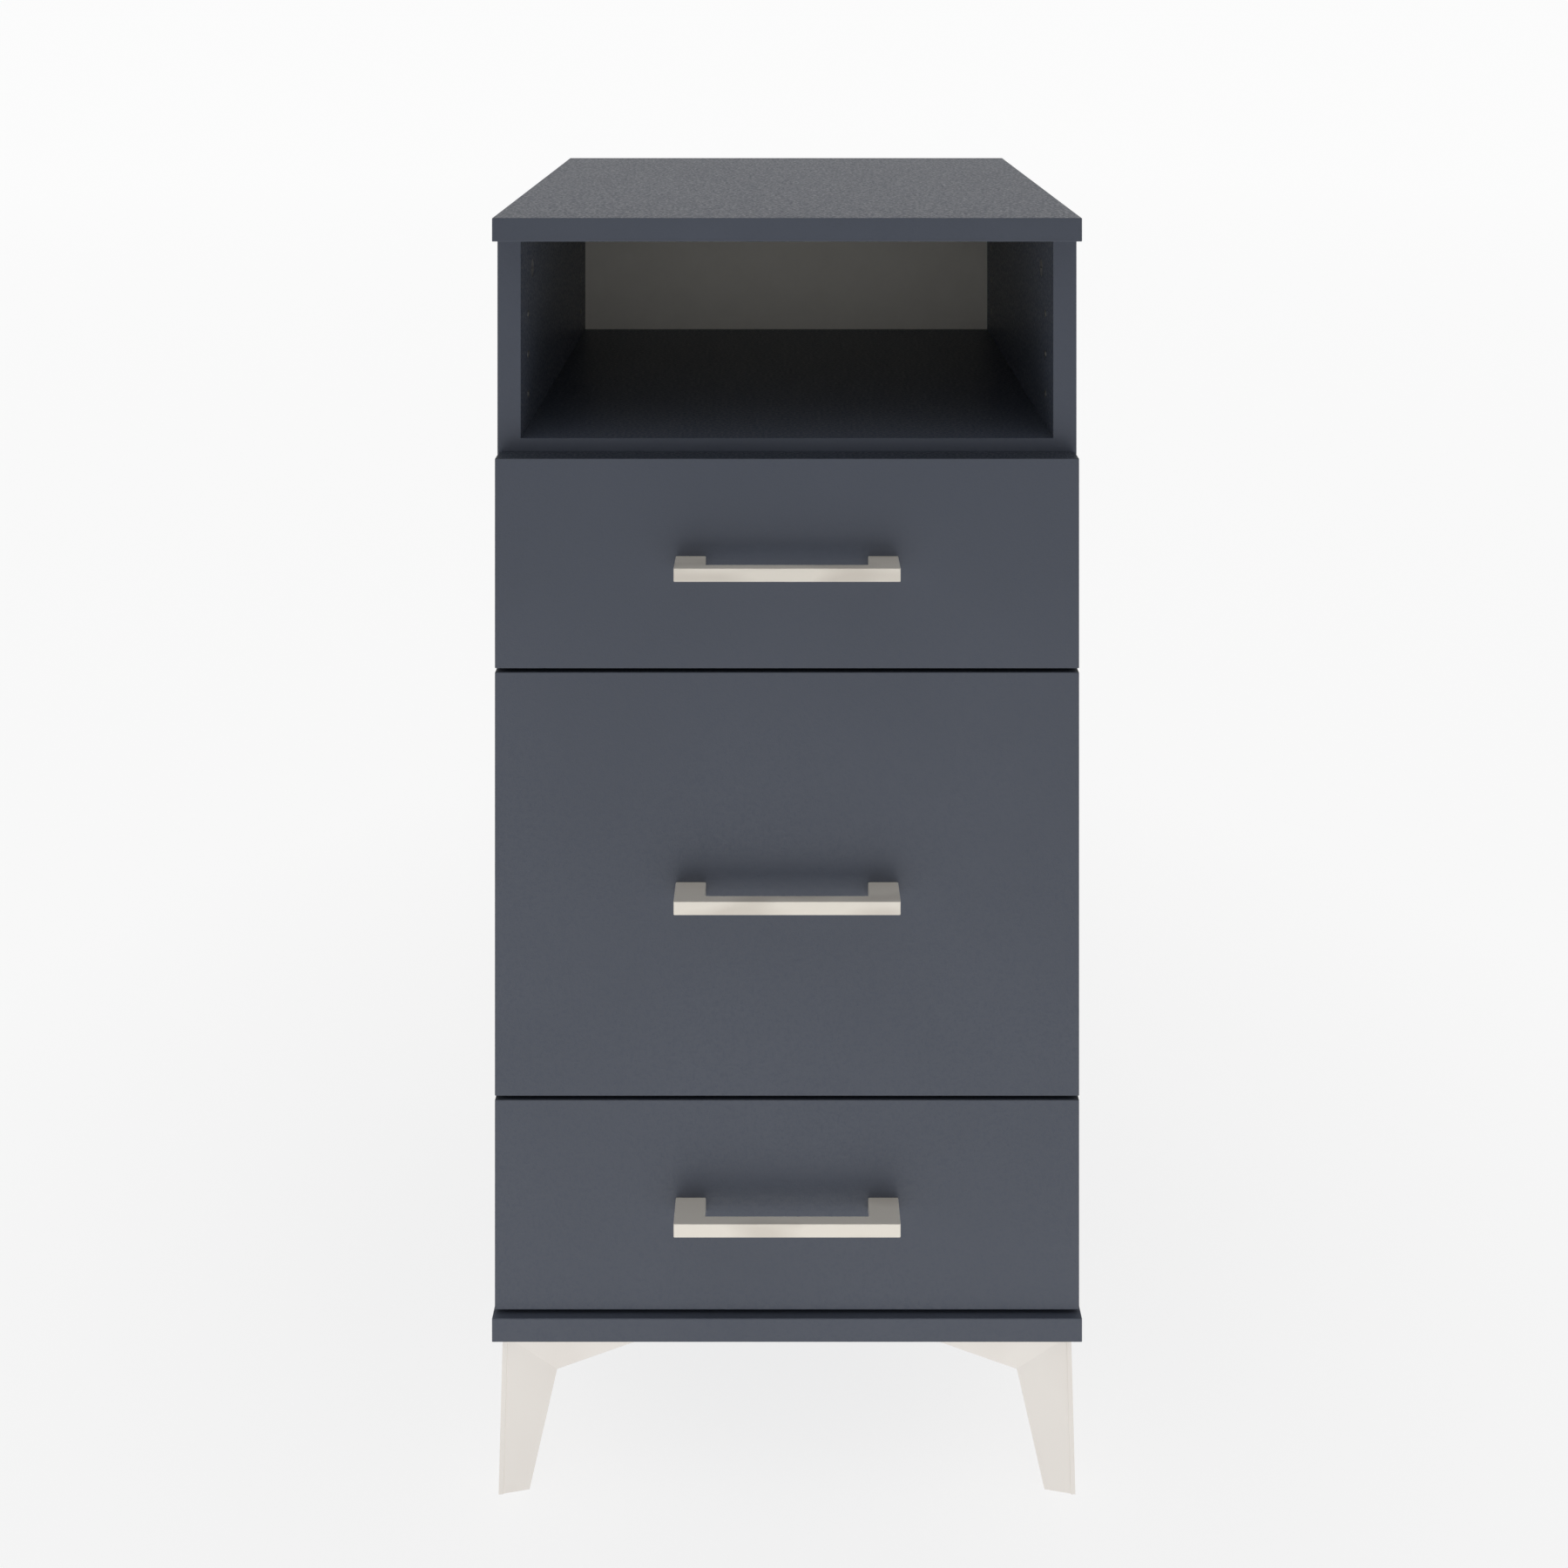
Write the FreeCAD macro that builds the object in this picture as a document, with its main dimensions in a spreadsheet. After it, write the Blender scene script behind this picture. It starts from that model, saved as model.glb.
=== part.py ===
import FreeCAD, Part
import os

import Sketcher

# A three-drawer nightstand: a dark board carcass with an open niche, three drawers on telescopic
# ball slides, bar handles and four splayed metal corner legs.  Millimetres, +Z up, front towards -Y,
# origin on the floor under the middle of the bounding box.

DIMENSIONS = [
    # alias, value, meaning
    ("width", 450, "width of the top and base panels"),
    ("depth", 450, "depth of the top and base panels"),
    ("board", 18, "thickness of the carcass and front boards"),
    ("board_edge", 0.6, "rounding of the edge banding"),
    ("leg_height", 120, "floor to underside of the base panel"),
    ("carcass_height", 821, "height of the side panels"),
    ("carcass_inset", 24, "side panels' front edges behind the top panel's front edge"),
    ("niche_height", 156.5, "clear height of the open niche"),
    ("back_board", 3, "thickness of the hardboard back and drawer bottoms"),
    ("back_inset", 15, "back panel's rear face in front of the carcass's rear edge"),
    ("groove_depth", 8, "depth of the carcass grooves"),
    ("groove_play", 0.1, "clearance on each face of a board in its groove"),
    ("front_width", 447, "width of a drawer front"),
    ("front_inset", 4, "drawer fronts' faces behind the top panel's front edge"),
    ("shallow_front", 160.5, "height of the upper and lower fronts"),
    ("tall_front", 324, "height of the middle front"),
    ("front_gap", 3, "gap between two fronts"),
    ("base_gap", 3.5, "gap between the base panel and the lower front"),
    ("box_board", 16, "thickness of the drawer box boards"),
    ("box_depth", 400, "depth of a drawer box"),
    ("box_lift", 18, "drawer box's lower edge above its front's lower edge"),
    ("shallow_box", 115, "height of the upper and lower drawer boxes"),
    ("tall_box", 250, "height of the middle drawer box"),
    ("bottom_lift", 10, "drawer bottom above the box's lower edge"),
    ("bottom_groove", 6, "depth of the grooves that hold a drawer bottom"),
    ("rail_length", 400, "length of every slide member"),
    ("rail_lift", 45, "slide's centre line above the box's lower edge"),
    ("rail_sheet", 1.2, "thickness of the slide's sheet steel"),
    ("slide_width", 12.7, "width of a closed slide"),
    ("outer_rail", 45, "height of the cabinet rail"),
    ("middle_rail", 35.2, "height of the middle rail"),
    ("inner_rail", 25, "height of the drawer rail"),
    ("outer_flange", 9.4, "reach of the cabinet rail's flanges"),
    ("middle_web", 3.4, "cabinet side of the middle rail's web"),
    ("middle_flange", 11, "reach of the middle rail's flanges"),
    ("inner_flange", 6, "cabinet side of the drawer rail's flanges"),
    ("ball", 3, "diameter of a slide's ball"),
    ("ball_pitch", 22, "distance between two balls of a row"),
    ("handle_length", 170, "overall length of a handle"),
    ("handle_projection", 27, "drawer face to the handle's front"),
    ("handle_bar", 8, "thickness of the handle's bar, front to back"),
    ("handle_height", 10, "height of a handle"),
    ("handle_post", 23, "width of a handle's end post"),
    ("handle_round", 1, "rounding of the handle's upright edges"),
    ("handle_edge", 0.4, "rounding of the handle's other edges"),
    ("handle_holes", 160, "distance between a handle's screw holes"),
    ("shallow_handle", 76, "handle's lower edge above a shallow front's lower edge"),
    ("tall_handle", 153.7, "handle's lower edge above the tall front's lower edge"),
    ("cam_edge", 34, "cam lock's centre to the end of its board"),
    ("cam_setback", 60, "cam lock's centre to the board's front or rear edge"),
    ("cam", 15, "diameter of a cam lock's hole"),
    ("cam_hole", 13.5, "depth of a cam lock's hole"),
    ("pin_hole", 5, "diameter of a shelf-pin hole"),
    ("pin_row", 37, "shelf-pin row to the side panel's front edge"),
    ("pin_pitch", 32, "distance between two shelf-pin holes"),
    ("pin_drop", 67, "highest shelf-pin hole below the top panel"),
    ("dowel", 8, "diameter of a dowel"),
    ("dowel_length", 30, "length of a dowel"),
]

DRAWERS = ("lower", "middle", "upper")
HANDS = ("left", "right")
FASTENER_PLAY = 0.1          # how much wider a drilled hole is than the fastener in it
ORIGIN_PLANES = {"XY": "XY_Plane", "XZ": "XZ_Plane", "YZ": "YZ_Plane"}

Vector = FreeCAD.Vector
Rotation = FreeCAD.Rotation
Placement = FreeCAD.Placement


class Size:
    """A length that carries its sheet expression and its present value together."""

    def __init__(self, text, value):
        self.text = text
        self.value = value

    def __add__(self, other):
        other = as_size(other)
        return Size(f"({self.text} + {other.text})", self.value + other.value)

    def __sub__(self, other):
        other = as_size(other)
        return Size(f"({self.text} - {other.text})", self.value - other.value)

    def __rsub__(self, other):
        return as_size(other) - self

    def __mul__(self, factor):
        return Size(f"({self.text} * {factor})", self.value * factor)

    def __truediv__(self, divisor):
        return Size(f"({self.text} / {divisor})", self.value / divisor)

    def __neg__(self):
        return Size(f"(-{self.text})", -self.value)

    __radd__ = __add__
    __rmul__ = __mul__


def as_size(value):
    return value if isinstance(value, Size) else Size(repr(float(value)), float(value))


def fill_sheet():
    """Write the driving dimensions into the sheet, and give them back as named sizes."""
    sheet = doc.addObject("Spreadsheet::Sheet", "dims")
    sizes = {}
    for row, (alias, value, meaning) in enumerate(DIMENSIONS, start=1):
        sheet.set(f"A{row}", meaning)
        sheet.set(f"B{row}", str(value))
        sheet.setAlias(f"B{row}", alias)
        sizes[alias] = Size(f"dims.{alias}", float(value))
    doc.recompute()
    return sizes


# --- drawing and cutting -------------------------------------------------------------------------

def new_body(name):
    body = doc.addObject("PartDesign::Body", name)
    body.Label = name
    return body


def new_sketch(body, plane, name, offset=0):
    """A sketch on one of the body's origin planes, moved along that plane's normal by offset."""
    role = ORIGIN_PLANES[plane]
    support = next(f for f in body.Origin.OriginFeatures if f.Role == role)
    sketch = body.newObject("Sketcher::SketchObject", f"{body.Name}_{name}")
    sketch.AttachmentSupport = [(support, "")]
    sketch.MapMode = "FlatFace"
    offset = as_size(offset)
    sketch.AttachmentOffset = Placement(Vector(0, 0, offset.value), Rotation())
    sketch.setExpression("AttachmentOffset.Base.z", offset.text)
    return sketch


def bind_datum(sketch, kind, *where, size):
    index = sketch.addConstraint(Sketcher.Constraint(kind, *where, size.value))
    sketch.setExpression(f"Constraints[{index}]", size.text)


def fix_point(sketch, curve, point, x, y):
    """Tie one point of a curve to the sketch's origin by its two coordinates."""
    for kind, axis, size in (("DistanceX", -2, as_size(x)), ("DistanceY", -1, as_size(y))):
        if abs(size.value) < 1e-9:
            sketch.addConstraint(Sketcher.Constraint("PointOnObject", curve, point, axis))
        else:
            bind_datum(sketch, kind, -1, 1, curve, point, size=size)


def outline(sketch, points):
    """A closed polygon through points, each a pair of sizes."""
    points = [(as_size(x), as_size(y)) for x, y in points]
    corners = [Vector(x.value, y.value, 0) for x, y in points]
    curves = []
    for start, end in zip(corners, corners[1:] + corners[:1]):
        curves.append(sketch.addGeometry(Part.LineSegment(start, end), False))
    for curve, following in zip(curves, curves[1:] + curves[:1]):
        sketch.addConstraint(Sketcher.Constraint("Coincident", curve, 2, following, 1))
    for curve, (x, y) in zip(curves, points):
        fix_point(sketch, curve, 1, x, y)


def rectangle(sketch, low_x, low_y, high_x, high_y):
    outline(sketch, [(low_x, low_y), (high_x, low_y), (high_x, high_y), (low_x, high_y)])


def circle(sketch, x, y, diameter):
    x, y, diameter = as_size(x), as_size(y), as_size(diameter)
    centre = Vector(x.value, y.value, 0)
    curve = sketch.addGeometry(Part.Circle(centre, Vector(0, 0, 1), diameter.value / 2), False)
    bind_datum(sketch, "Diameter", curve, size=diameter)
    fix_point(sketch, curve, 3, x, y)


def pad(body, sketch, length, reversed_=False):
    feature = body.newObject("PartDesign::Pad", f"{sketch.Name}_pad")
    feature.Profile = sketch
    feature.Reversed = reversed_
    feature.setExpression("Length", as_size(length).text)
    sketch.Visibility = False
    return feature


def pocket(body, sketch, depth):
    """Cut a sketch into the body, on whichever side of the sketch the solid lies."""
    doc.recompute()
    before = body.Shape.Volume
    feature = body.newObject("PartDesign::Pocket", f"{sketch.Name}_pocket")
    feature.Profile = sketch
    feature.setExpression("Length", as_size(depth).text)
    sketch.Visibility = False
    doc.recompute()
    if before - body.Shape.Volume < 1e-3:
        feature.Reversed = True
        doc.recompute()
    if before - body.Shape.Volume < 1e-3:
        raise RuntimeError(f"{feature.Name} cuts nothing")
    return feature


def drill(body, plane, offset, holes, diameter, depth, name):
    """Blind holes, all alike, at the given pairs of sizes on one plane."""
    sketch = new_sketch(body, plane, name, offset)
    for x, y in holes:
        circle(sketch, x, y, diameter)
    pocket(body, sketch, depth)


def groove(body, plane, offset, box, depth, name):
    sketch = new_sketch(body, plane, name, offset)
    rectangle(sketch, *box)
    pocket(body, sketch, depth)


def round_edges(body, feature, radius, wanted):
    """Round the edges of the body's latest feature that pass the wanted test."""
    doc.recompute()
    names = [f"Edge{i}" for i, edge in enumerate(feature.Shape.Edges, start=1) if wanted(edge)]
    fillet = body.newObject("PartDesign::Fillet", f"{body.Name}_round")
    fillet.Base = (feature, names)
    fillet.setExpression("Radius", radius.text)
    return fillet


def place(part, x, y, z, rotation=None):
    """Give a sub-part its place, each coordinate bound to the sheet."""
    x, y, z = as_size(x), as_size(y), as_size(z)
    part.Placement = Placement(Vector(x.value, y.value, z.value), rotation or Rotation())
    for axis, size in zip("xyz", (x, y, z)):
        part.setExpression(f"Placement.Base.{axis}", size.text)


def board(name, size_x, size_y, size_z, edge=None):
    """A rectangular board with its lowest corner at its own origin."""
    body = new_body(name)
    sketch = new_sketch(body, "XY", "outline")
    rectangle(sketch, 0, 0, size_x, size_y)
    feature = pad(body, sketch, size_z)
    if edge:
        round_edges(body, feature, edge, lambda _: True)
    return body


def turned(name, radii_and_heights):
    """A round piece about Z: each step is a radius kept up to a height."""
    body = new_body(name)
    sketch = new_sketch(body, "XZ", "profile")
    points = [(0, 0)]
    height = 0
    for radius, top in radii_and_heights:
        points += [(radius, height), (radius, top)]
        height = top
    points.append((0, height))
    outline(sketch, points)
    feature = body.newObject("PartDesign::Revolution", f"{name}_turn")
    feature.Profile = sketch
    feature.ReferenceAxis = (sketch, ["V_Axis"])
    feature.Angle = 360
    sketch.Visibility = False
    return body


def group(name, copies):
    """One node of separate solids: each copy is a master piece and where it goes."""
    links = []
    for index, (master, placement) in enumerate(copies):
        link = doc.addObject("App::Link", f"{name}_{index}")
        link.LinkedObject = master
        link.Placement = placement
        links.append(link)
    compound = doc.addObject("Part::Compound", name)
    compound.Label = name
    compound.Links = links
    return compound


def at(x, y, z, rotation=None):
    coordinates = [as_size(value).value for value in (x, y, z)]
    return Placement(Vector(*coordinates), rotation or Rotation())


def along(direction):
    """The turn that carries a piece made along +Z to a direction."""
    return Rotation(UP, direction)


UP = Vector(0, 0, 1)
TO_FRONT = Vector(0, -1, 0)
MIRRORED_RAIL = Rotation(Vector(0, 1, 0), 180)


# --- document and derived sizes ------------------------------------------------------------------

doc = FreeCAD.newDocument("nightstand")
D = fill_sheet()

top_front = (D["handle_projection"] - D["front_inset"] - D["depth"]) / 2
side_x = D["width"] / 2
inner_x = side_x - D["board"]
base_z = D["leg_height"]
carcass_z = base_z + D["board"]
top_z = carcass_z + D["carcass_height"]
shelf_top_z = top_z - D["niche_height"]
shelf_z = shelf_top_z - D["board"]
carcass_front = top_front + D["carcass_inset"]
carcass_depth = D["depth"] - D["carcass_inset"]
back_front_face = top_front + D["depth"] - D["back_inset"] - D["back_board"]
niche_depth = back_front_face - carcass_front
groove_width = D["back_board"] + 2 * D["groove_play"]

front_face = top_front + D["front_inset"]
front_back_face = front_face + D["board"]
box_half_width = inner_x - D["slide_width"]
box_inner_x = box_half_width - D["box_board"]
box_rear = front_back_face + D["box_depth"]

lower_front_z = carcass_z + D["base_gap"]
middle_front_z = lower_front_z + D["shallow_front"] + D["front_gap"]
upper_front_z = middle_front_z + D["tall_front"] + D["front_gap"]

# Each drawer: its front's lower edge, its front's height, its box's height, its handle's lower edge.
PLAN = {
    "lower": (lower_front_z, D["shallow_front"], D["shallow_box"], D["shallow_handle"]),
    "middle": (middle_front_z, D["tall_front"], D["tall_box"], D["tall_handle"]),
    "upper": (upper_front_z, D["shallow_front"], D["shallow_box"], D["shallow_handle"]),
}


# --- fasteners: one master of each, which the groups further down repeat ------------------------

CAM_AXIS = 4                 # a cam's inner end to the middle of its bolt
CAM_RADIUS = 7.4
BOLT_THREAD = 11
BOLT_HOLE = 7
PANEL_BOLT_HOLE = (6, 11.5)  # diameter and depth
DOWEL_IN_FACE = 12
DOWEL_IN_END = 19
DOWEL_END = 0.5              # what a dowel leaves free at each end of its holes
LEG_PLATE = 3
LEG_SCREW_HEAD = 2.5
RAIL_SCREW_HEAD = 1.4
PILOT_HOLE = 3.6
PILOT_DEPTH = 12.5
BOX_SCREW_HEAD = 3
HANDLE_SCREW_HEAD = 2.4


def make_cam(name, height):
    """A cam lock: a disc along +Z with a side hole along +X for its bolt and a cross slot on top."""
    body = turned(name, [(CAM_RADIUS, height)])
    drill(body, "YZ", CAM_RADIUS, [(0, CAM_AXIS)], BOLT_HOLE, CAM_RADIUS + 2, "bolt_hole")
    groove(body, "XY", height, (-4, -0.7, 4, 0.7), 2, "slot")
    groove(body, "XY", height, (-0.7, -4, 0.7, 4), 2, "cross_slot")
    return body


cabinet_cam = make_cam("cabinet_cam", 12.8)
drawer_cam = make_cam("drawer_cam", 11.8)
cam_bolt = turned("cam_bolt", [(2.9, BOLT_THREAD), (3.4, 12.5), (2.2, 41), (3.1, 44)])
dowel_pin = turned("dowel_pin", [(D["dowel"] / 2, D["dowel_length"])])
leg_screw = turned("leg_screw", [(4, LEG_SCREW_HEAD), (1.75, 17.5)])
rail_screw = turned("rail_screw", [(3.5, RAIL_SCREW_HEAD), (1.75, 13)])
box_screw = turned("box_screw", [(3.5, BOX_SCREW_HEAD), (2.5, 40)])
handle_screw = turned("handle_screw", [(4, HANDLE_SCREW_HEAD), (2, 27.4)])


def cam_at(x, y, z, to_end, to_face):
    """Where a cam goes: the point where its bolt meets its axis, and which way its bolt and face are."""
    turn = Rotation(to_end, to_face.cross(to_end), to_face, "ZXY")
    point = at(x, y, z).Base
    return Placement(point - to_face * CAM_AXIS, turn)


def bolt_at(x, y, z, direction):
    """Where a cam bolt goes: the point where it leaves its panel, and which way it points."""
    point = at(x, y, z).Base
    return Placement(point - direction * BOLT_THREAD, along(direction))


# --- carcass -------------------------------------------------------------------------------------

CAM_SPOTS = (D["cam_setback"], carcass_depth - D["cam_setback"])
DOWEL_SPOTS = (D["cam_setback"] + 50, carcass_depth - D["cam_setback"] - 50)
SHELF_CAM_SPOTS = (D["cam_setback"], niche_depth - D["cam_setback"])
SHELF_DOWEL_SPOTS = (D["cam_setback"] + 50, niche_depth - D["cam_setback"] - 50)
PIN_SPOTS = (D["pin_row"], niche_depth - D["pin_row"])
RAIL_SCREW_SPOTS = (35, 163, 355)
LEG_SCREW_SPOTS = ((34, 34), (74, 27), (27, 74))
DOWEL_HOLE = D["dowel"] + FASTENER_PLAY


def make_cap_panel(name, z, inner_face):
    """The top or base panel: a full board with bolt and dowel holes and the back's groove inside."""
    panel = board(name, D["width"], D["depth"], D["board"], D["board_edge"])
    middles = (D["board"] / 2, D["width"] - D["board"] / 2)
    bolts = [(x, D["carcass_inset"] + y) for x in middles for y in CAM_SPOTS]
    dowels = [(x, D["carcass_inset"] + y) for x in middles for y in DOWEL_SPOTS]
    drill(panel, "XY", inner_face, bolts, *PANEL_BOLT_HOLE, "bolt_holes")
    drill(panel, "XY", inner_face, dowels, DOWEL_HOLE, DOWEL_IN_FACE, "dowel_holes")
    groove_end = D["board"] - D["groove_depth"]
    groove_y = D["depth"] - D["back_inset"] - D["back_board"] - D["groove_play"]
    slot = (groove_end, groove_y, D["width"] - groove_end, groove_y + groove_width)
    groove(panel, "XY", inner_face, slot, D["groove_depth"], "back_groove")
    place(panel, -side_x, top_front, z)
    return panel


def make_base_panel():
    panel = make_cap_panel("base_panel", base_z, D["board"])
    spots = []
    for a, b in LEG_SCREW_SPOTS:
        spots += [(x, y) for x in (a, D["width"] - a) for y in (b, D["depth"] - b)]
    drill(panel, "XY", 0, spots, PILOT_HOLE, PILOT_DEPTH, "leg_screw_holes")
    return panel


def make_side_panel(hand):
    """A side panel, with its inner face towards +X on the left one and towards -X on the right."""
    panel = board(f"{hand}_side_panel", D["board"], carcass_depth, D["carcass_height"])
    inner_face = D["board"] if hand == "left" else 0
    height = D["carcass_height"]
    middle = D["board"] / 2

    cams = [(y, z) for y in CAM_SPOTS for z in (D["cam_edge"], height - D["cam_edge"])]
    drill(panel, "YZ", inner_face, cams, D["cam"], D["cam_hole"], "cam_holes")
    for label, end in (("lower", 0), ("upper", height)):
        bolts = [(middle, y) for y in CAM_SPOTS]
        drill(panel, "XY", end, bolts, BOLT_HOLE, D["cam_edge"], f"{label}_bolt_holes")
        dowels = [(middle, y) for y in DOWEL_SPOTS]
        drill(panel, "XY", end, dowels, DOWEL_HOLE, DOWEL_IN_END, f"{label}_dowel_holes")

    shelf_middle = shelf_z + D["board"] / 2 - carcass_z
    bolts = [(y, shelf_middle) for y in SHELF_CAM_SPOTS]
    drill(panel, "YZ", inner_face, bolts, *PANEL_BOLT_HOLE, "shelf_bolt_holes")
    dowels = [(y, shelf_middle) for y in SHELF_DOWEL_SPOTS]
    drill(panel, "YZ", inner_face, dowels, DOWEL_HOLE, DOWEL_IN_FACE, "shelf_dowel_holes")

    top_pin = height - D["pin_drop"]
    pins = [(y, top_pin - D["pin_pitch"] * step) for y in PIN_SPOTS for step in range(3)]
    drill(panel, "YZ", inner_face, pins, D["pin_hole"], 12, "pin_holes")
    rails = [(y, rail_z(drawer) - carcass_z) for drawer in DRAWERS for y in RAIL_SCREW_SPOTS]
    drill(panel, "YZ", inner_face, rails, PILOT_HOLE, PILOT_DEPTH, "rail_screw_holes")

    groove_y = niche_depth - D["groove_play"]
    groove(panel, "YZ", inner_face, (groove_y, 0, groove_y + groove_width, height),
           D["groove_depth"], "back_groove")
    place(panel, -side_x if hand == "left" else inner_x, carcass_front, carcass_z)
    return panel


def make_niche_shelf():
    """The fixed shelf: cam holes from below, bolt and dowel holes in both ends."""
    length = 2 * inner_x
    middle = D["board"] / 2
    shelf = board("niche_shelf", length, niche_depth, D["board"])
    cams = [(x, y) for x in (D["cam_edge"], length - D["cam_edge"]) for y in SHELF_CAM_SPOTS]
    drill(shelf, "XY", 0, cams, D["cam"], D["cam_hole"], "cam_holes")
    for label, end in (("left", 0), ("right", length)):
        bolts = [(y, middle) for y in SHELF_CAM_SPOTS]
        drill(shelf, "YZ", end, bolts, BOLT_HOLE, D["cam_edge"], f"{label}_bolt_holes")
        dowels = [(y, middle) for y in SHELF_DOWEL_SPOTS]
        drill(shelf, "YZ", end, dowels, DOWEL_HOLE, DOWEL_IN_END, f"{label}_dowel_holes")
    place(shelf, -inner_x, carcass_front, shelf_z)
    return shelf


def make_back_panel():
    reach = D["groove_depth"] - 0.5
    panel = board("back_panel", 2 * (inner_x + reach), D["back_board"],
                  D["carcass_height"] + 2 * reach)
    place(panel, -inner_x - reach, back_front_face, carcass_z - reach)
    return panel


def cam_joints():
    """The cabinet's cams, bolts and dowels: sides to the top and base, and the shelf to the sides."""
    cams, bolts, dowels = [], [], []
    for side in (-1, 1):
        outward = Vector(side, 0, 0)
        middle = (side_x - D["board"] / 2) * side
        for end_z, inward in ((carcass_z, 1), (top_z, -1)):
            for y in CAM_SPOTS:
                spot = carcass_front + y
                cams.append((cabinet_cam, cam_at(middle, spot, end_z + D["cam_edge"] * inward,
                                                 UP * -inward, -outward)))
                bolts.append((cam_bolt, bolt_at(middle, spot, end_z, UP * inward)))
            for y in DOWEL_SPOTS:
                low = DOWEL_IN_FACE if inward == 1 else DOWEL_IN_END
                dowels.append((dowel_pin, at(middle, carcass_front + y, end_z - low + DOWEL_END)))
        shelf_middle = shelf_z + D["board"] / 2
        for y in SHELF_CAM_SPOTS:
            spot = carcass_front + y
            cams.append((cabinet_cam, cam_at((inner_x - D["cam_edge"]) * side, spot, shelf_middle,
                                             outward, -UP)))
            bolts.append((cam_bolt, bolt_at(inner_x * side, spot, shelf_middle, -outward)))
        for y in SHELF_DOWEL_SPOTS:
            start = (inner_x + (DOWEL_IN_FACE - DOWEL_END)) * side
            dowels.append((dowel_pin, at(start, carcass_front + y, shelf_middle, along(-outward))))
    return cams, bolts, dowels


# --- legs ----------------------------------------------------------------------------------------

LEG_CORNERS = {
    # name: corner of the base panel, turn about Z
    "front_left_leg": (-side_x, top_front, 0),
    "front_right_leg": (side_x, top_front, 90),
    "rear_right_leg": (side_x, top_front + D["depth"], 180),
    "rear_left_leg": (-side_x, top_front + D["depth"], 270),
}


def across_diagonal(point):
    inward, backward, height = point
    return (backward, inward, height)


def in_plane(first, second, third, inward, height):
    """The point of the plane through three points that has this inward distance and height."""
    origin = Vector(*first)
    normal = (Vector(*second) - origin).cross(Vector(*third) - origin)
    offset = normal.x * (inward - origin.x) + normal.z * (height - origin.z)
    return (inward, origin.y - offset / normal.y, height)


def make_leg_shape():
    """A corner leg of folded sheet: two tapered wings with gussets, under a triangular plate.

    One wing is drawn by its distances inward and backward from the panel's corner and its height;
    the other is its mirror across the corner's diagonal.
    """
    height = D["leg_height"].value
    top_corner = (7.1, 7.1, height)
    foot_corner = (4.4, 4.4, 0)
    foot_inner = (27.4, 8.7, 0)
    gusset_end = (124, 7.1, height)
    knee = in_plane(top_corner, foot_corner, foot_inner, inward=47.8, height=height - 32.3)
    sheet = (0, 3.5, 0)
    screw_hole = 4.5

    walls = []
    for facet in ((top_corner, knee, foot_inner, foot_corner), (top_corner, gusset_end, knee)):
        mirrored = [across_diagonal(point) for point in facet]
        for corners, through in ((facet, sheet), (mirrored, across_diagonal(sheet))):
            points = [Vector(*point) for point in corners]
            face = Part.Face(Part.makePolygon(points + points[:1]))
            walls.append(face.extrude(Vector(*through)))
    low = height - LEG_PLATE
    plan = [Vector(a, b, low) for a, b, _ in (top_corner, gusset_end, across_diagonal(gusset_end))]
    plate = Part.Face(Part.makePolygon(plan + plan[:1])).extrude(UP * LEG_PLATE)
    leg = plate.fuse(walls).removeSplitter()
    for a, b in LEG_SCREW_SPOTS:
        leg = leg.cut(Part.makeCylinder(screw_hole / 2, LEG_PLATE, Vector(a, b, low)))
    return leg


def make_legs():
    shape = make_leg_shape()
    legs = []
    for name, (x, y, turn) in LEG_CORNERS.items():
        leg = doc.addObject("Part::Feature", name)
        leg.Label = name
        leg.Shape = shape
        place(leg, x, y, 0, Rotation(UP, turn))
        legs.append(leg)
    return legs


def make_leg_screws():
    copies = []
    for x, y, turn in LEG_CORNERS.values():
        corner = at(x, y, D["leg_height"] - LEG_PLATE - LEG_SCREW_HEAD, Rotation(UP, turn))
        for a, b in LEG_SCREW_SPOTS:
            copies.append((leg_screw, corner.multiply(at(a, b, 0))))
    return group("leg_screws", copies)


# --- slides --------------------------------------------------------------------------------------

def channel(name, web, lip, half_height, screw_holes):
    """A slide member along +Y: a C section from its web to its flanges' lips, mid-height at Z 0."""
    inward = 1 if lip.value > web.value else -1
    sheet = D["rail_sheet"]
    web_face = web + sheet * inward
    corners = [(web, -half_height), (lip, -half_height), (lip, sheet - half_height),
               (web_face, sheet - half_height), (web_face, half_height - sheet),
               (lip, half_height - sheet), (lip, half_height), (web, half_height)]
    body = new_body(name)
    sketch = new_sketch(body, "XZ", "section")
    outline(sketch, corners)
    feature = pad(body, sketch, D["rail_length"], reversed_=True)

    def is_bend(edge):
        points = [vertex.Point for vertex in edge.Vertexes]
        return all(abs(p.x - web.value) < 1e-6 for p in points) and abs(points[0].y - points[1].y) > 1

    round_edges(body, feature, sheet * 0.8, is_bend)
    if screw_holes:
        holes = [(y, 0) for y in RAIL_SCREW_SPOTS]
        drill(body, "YZ", web, holes, 4, sheet, "screw_holes")
    return body


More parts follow.
